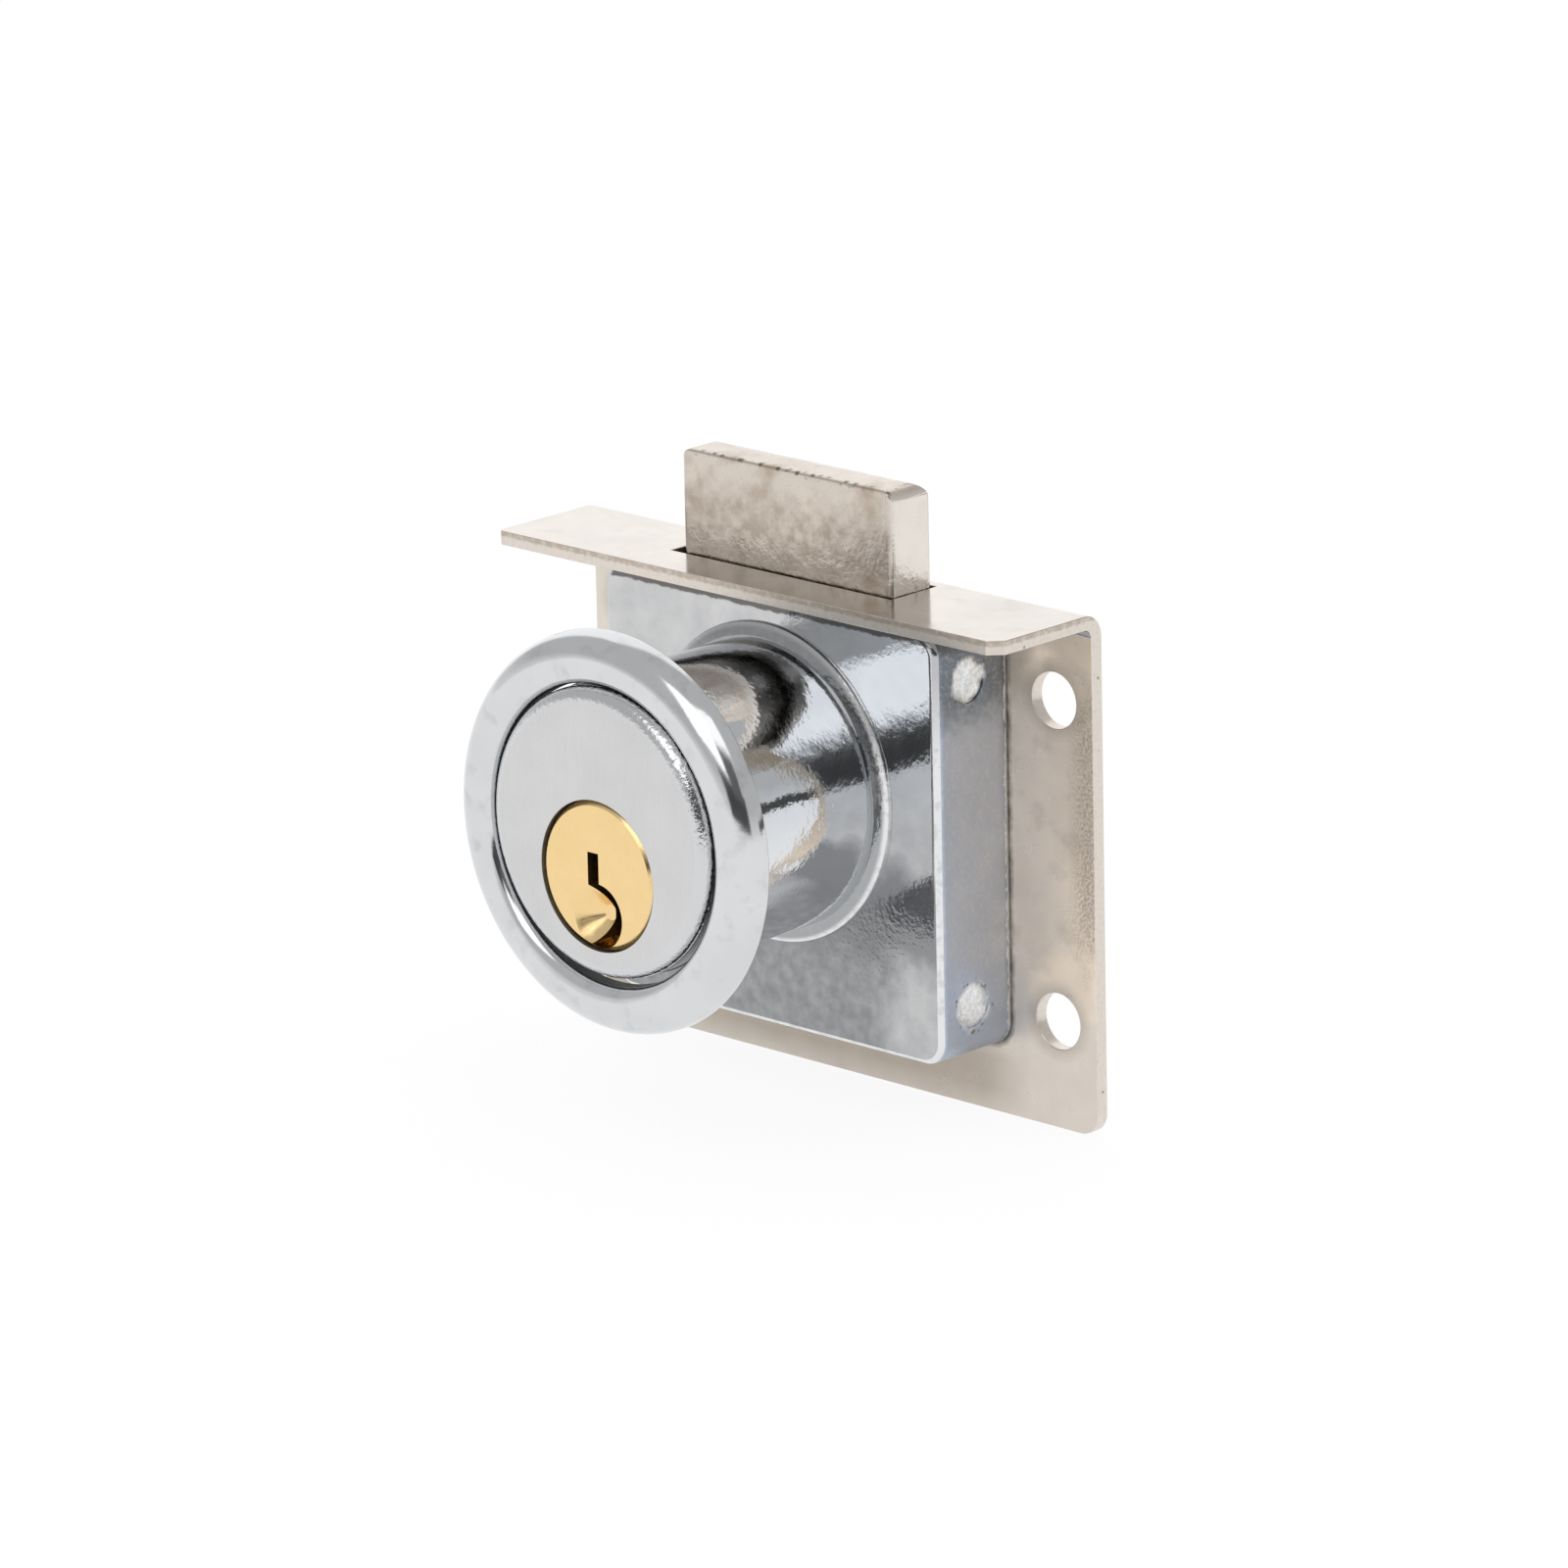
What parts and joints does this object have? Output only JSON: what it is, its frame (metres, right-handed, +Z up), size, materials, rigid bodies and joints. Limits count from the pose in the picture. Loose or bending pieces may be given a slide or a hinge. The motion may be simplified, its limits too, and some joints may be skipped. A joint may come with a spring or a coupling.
{
  "type": "cabinet lock",
  "caption": "Drawer lock on an angled plate: round chromed barrel with a brass keyed plug, a loose domed trim ring, and a square bolt that rises through the plate's flange.",
  "frame": {"origin": "centre of the four screw holes, on the front face of the upright plate, the face that lies against the board", "axes": "+X to the right as seen from the front, +Y to the back, +Z up; the barrel points along -Y and the bolt is thrown along +Z"},
  "size_m": [0.051, 0.0271, 0.048],
  "materials": {
    "nickel_plate": "warm nickel plating on sheet steel, softly mottled",
    "nickel_bolt": "warm nickel plating, lightly pitted",
    "chrome_case": "bright chrome plating on die-cast zinc, rippled; the front disc is satin",
    "chrome_ring": "polished chrome plating",
    "plug_brass": "turned and lapped brass",
    "core_brass": "machined brass",
    "pin_brass": "turned brass",
    "driver_steel": "turned steel",
    "spring_steel": "drawn spring steel",
    "cam_steel": "zinc-plated steel"
  },
  "bodies": {
    "case": {"mounting_plate": "nickel_plate", "lock_case": "chrome_case", "pin_housing": "core_brass", "pin_spring_1": "spring_steel", "pin_spring_2": "spring_steel", "pin_spring_3": "spring_steel", "pin_spring_4": "spring_steel", "pin_spring_5": "spring_steel"},
    "plug": {"plug": "plug_brass", "plug_clip": "spring_steel", "drive_cam": "cam_steel", "drive_pin": "cam_steel"},
    "bolt": {"bolt": "nickel_bolt", "bolt_spring": "spring_steel"},
    "trim_ring": {"trim_ring": "chrome_ring"},
    "driver_1": {"driver_pin_1": "driver_steel"},
    "key_pin_1": {"key_pin_1": "pin_brass"},
    "driver_2": {"driver_pin_2": "driver_steel"},
    "key_pin_2": {"key_pin_2": "pin_brass"},
    "driver_3": {"driver_pin_3": "driver_steel"},
    "key_pin_3": {"key_pin_3": "pin_brass"},
    "driver_4": {"driver_pin_4": "driver_steel"},
    "key_pin_4": {"key_pin_4": "pin_brass"},
    "driver_5": {"driver_pin_5": "driver_steel"},
    "key_pin_5": {"key_pin_5": "pin_brass"}
  },
  "joints": [
    {"name": "plug_turn", "type": "hinge", "parent": "case", "child": "plug", "pos_m": [0, -0.0257, 0.0007], "axis": [0, 1, 0], "range_deg": [0, 90]},
    {"name": "bolt_slide", "type": "slide", "parent": "case", "child": "bolt", "axis": [0, 0, -1], "range_m": [0, 0.008]},
    {"name": "ring_slide", "type": "slide", "parent": "case", "child": "trim_ring", "axis": [0, -1, 0], "range_m": [-0.0131, 0.03]},
    {"name": "driver_drop_1", "type": "slide", "parent": "case", "child": "driver_1", "axis": [0, 0, 1], "range_m": [-0.0021, 0], "deforming": ["pin_spring_1"]},
    {"name": "key_pin_drop_1", "type": "slide", "parent": "plug", "child": "key_pin_1", "axis": [0, 0, 1], "range_m": [-0.0021, 0]},
    {"name": "driver_drop_2", "type": "slide", "parent": "case", "child": "driver_2", "axis": [0, 0, 1], "range_m": [-0.0013, 0], "deforming": ["pin_spring_2"]},
    {"name": "key_pin_drop_2", "type": "slide", "parent": "plug", "child": "key_pin_2", "axis": [0, 0, 1], "range_m": [-0.0013, 0]},
    {"name": "driver_drop_3", "type": "slide", "parent": "case", "child": "driver_3", "axis": [0, 0, 1], "range_m": [-0.0025, 0], "deforming": ["pin_spring_3"]},
    {"name": "key_pin_drop_3", "type": "slide", "parent": "plug", "child": "key_pin_3", "axis": [0, 0, 1], "range_m": [-0.0025, 0]},
    {"name": "driver_drop_4", "type": "slide", "parent": "case", "child": "driver_4", "axis": [0, 0, 1], "range_m": [-0.0017, 0], "deforming": ["pin_spring_4"]},
    {"name": "key_pin_drop_4", "type": "slide", "parent": "plug", "child": "key_pin_4", "axis": [0, 0, 1], "range_m": [-0.0017, 0]},
    {"name": "driver_drop_5", "type": "slide", "parent": "case", "child": "driver_5", "axis": [0, 0, 1], "range_m": [-0.001, 0], "deforming": ["pin_spring_5"]},
    {"name": "key_pin_drop_5", "type": "slide", "parent": "plug", "child": "key_pin_5", "axis": [0, 0, 1], "range_m": [-0.001, 0]}
  ],
  "couplings": [
    {"joint": "plug_turn", "follows": "bolt_slide", "rad_per_m": 196.35},
    {"joint": "key_pin_drop_1", "follows": "driver_drop_1", "ratio": 1},
    {"joint": "key_pin_drop_2", "follows": "driver_drop_2", "ratio": 1},
    {"joint": "key_pin_drop_3", "follows": "driver_drop_3", "ratio": 1},
    {"joint": "key_pin_drop_4", "follows": "driver_drop_4", "ratio": 1},
    {"joint": "key_pin_drop_5", "follows": "driver_drop_5", "ratio": 1}
  ]
}
